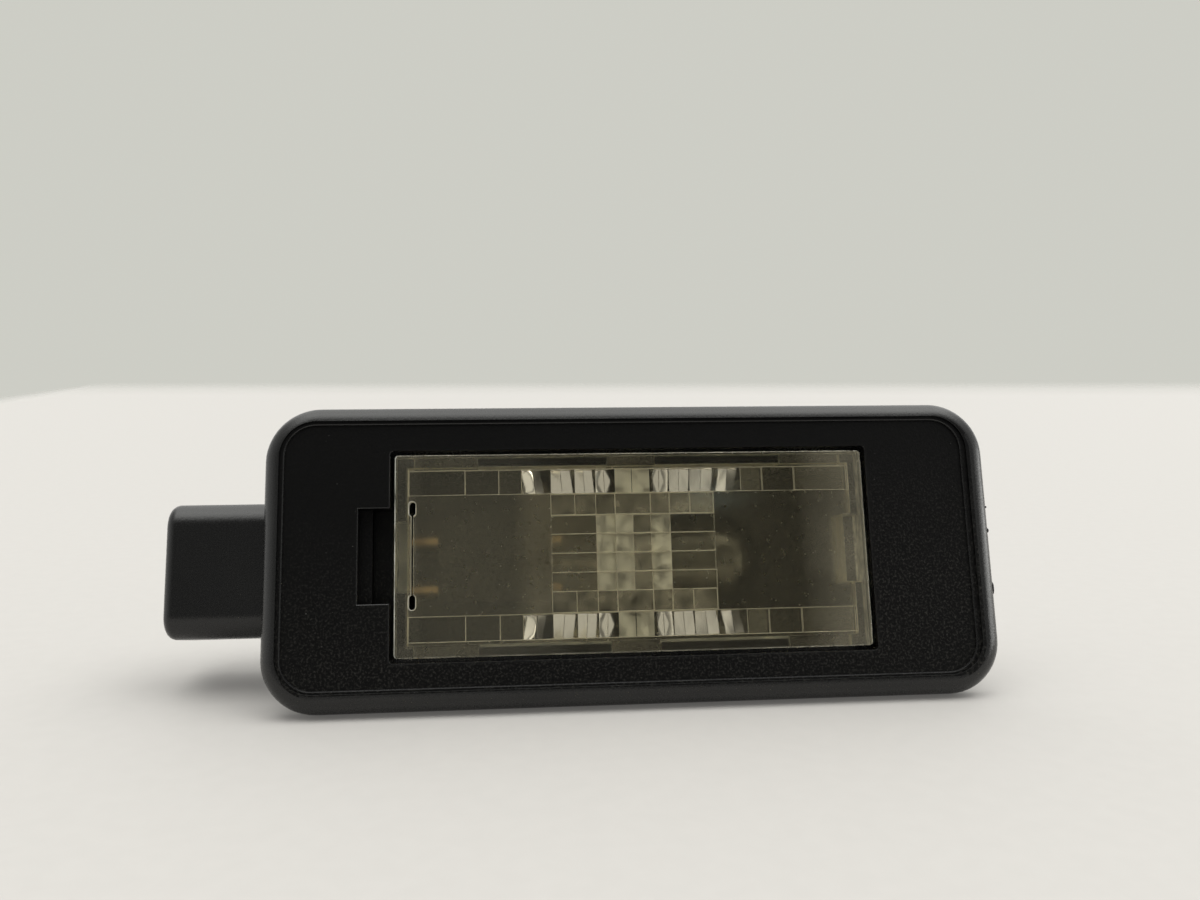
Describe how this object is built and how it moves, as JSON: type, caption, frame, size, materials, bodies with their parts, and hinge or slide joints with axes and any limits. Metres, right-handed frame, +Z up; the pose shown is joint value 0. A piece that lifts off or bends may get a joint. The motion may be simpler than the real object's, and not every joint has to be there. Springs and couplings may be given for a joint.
{
  "type": "number plate lamp",
  "caption": "Snap-in car number plate lamp: black moulded bezel and chamber, clear prismatic lens, capless wedge bulb, and a side connector with blade contacts.",
  "frame": {"origin": "centre of the bezel on the seat face that lies on the car's panel", "axes": "+X along the bezel, away from the connector; +Y into the panel, out of the seat face; +Z up across the bezel; the lens faces -Y"},
  "size_m": [0.0811, 0.0175, 0.0286],
  "materials": {
    "housing": "fine grain, worn bright along the rim",
    "lens": "clear, lightly hazed",
    "bulb_glass": "clear",
    "filament": "drawn tungsten",
    "lead_wire": "drawn wire",
    "contact": "stamped, dulled"
  },
  "bodies": {
    "root": {"housing": "housing", "lens": "lens", "bulb_glass": "bulb_glass", "bulb_filament": "filament", "bulb_lead_upper": "lead_wire", "bulb_lead_lower": "lead_wire", "contact_upper": "contact", "contact_lower": "contact"}
  },
  "joints": []
}
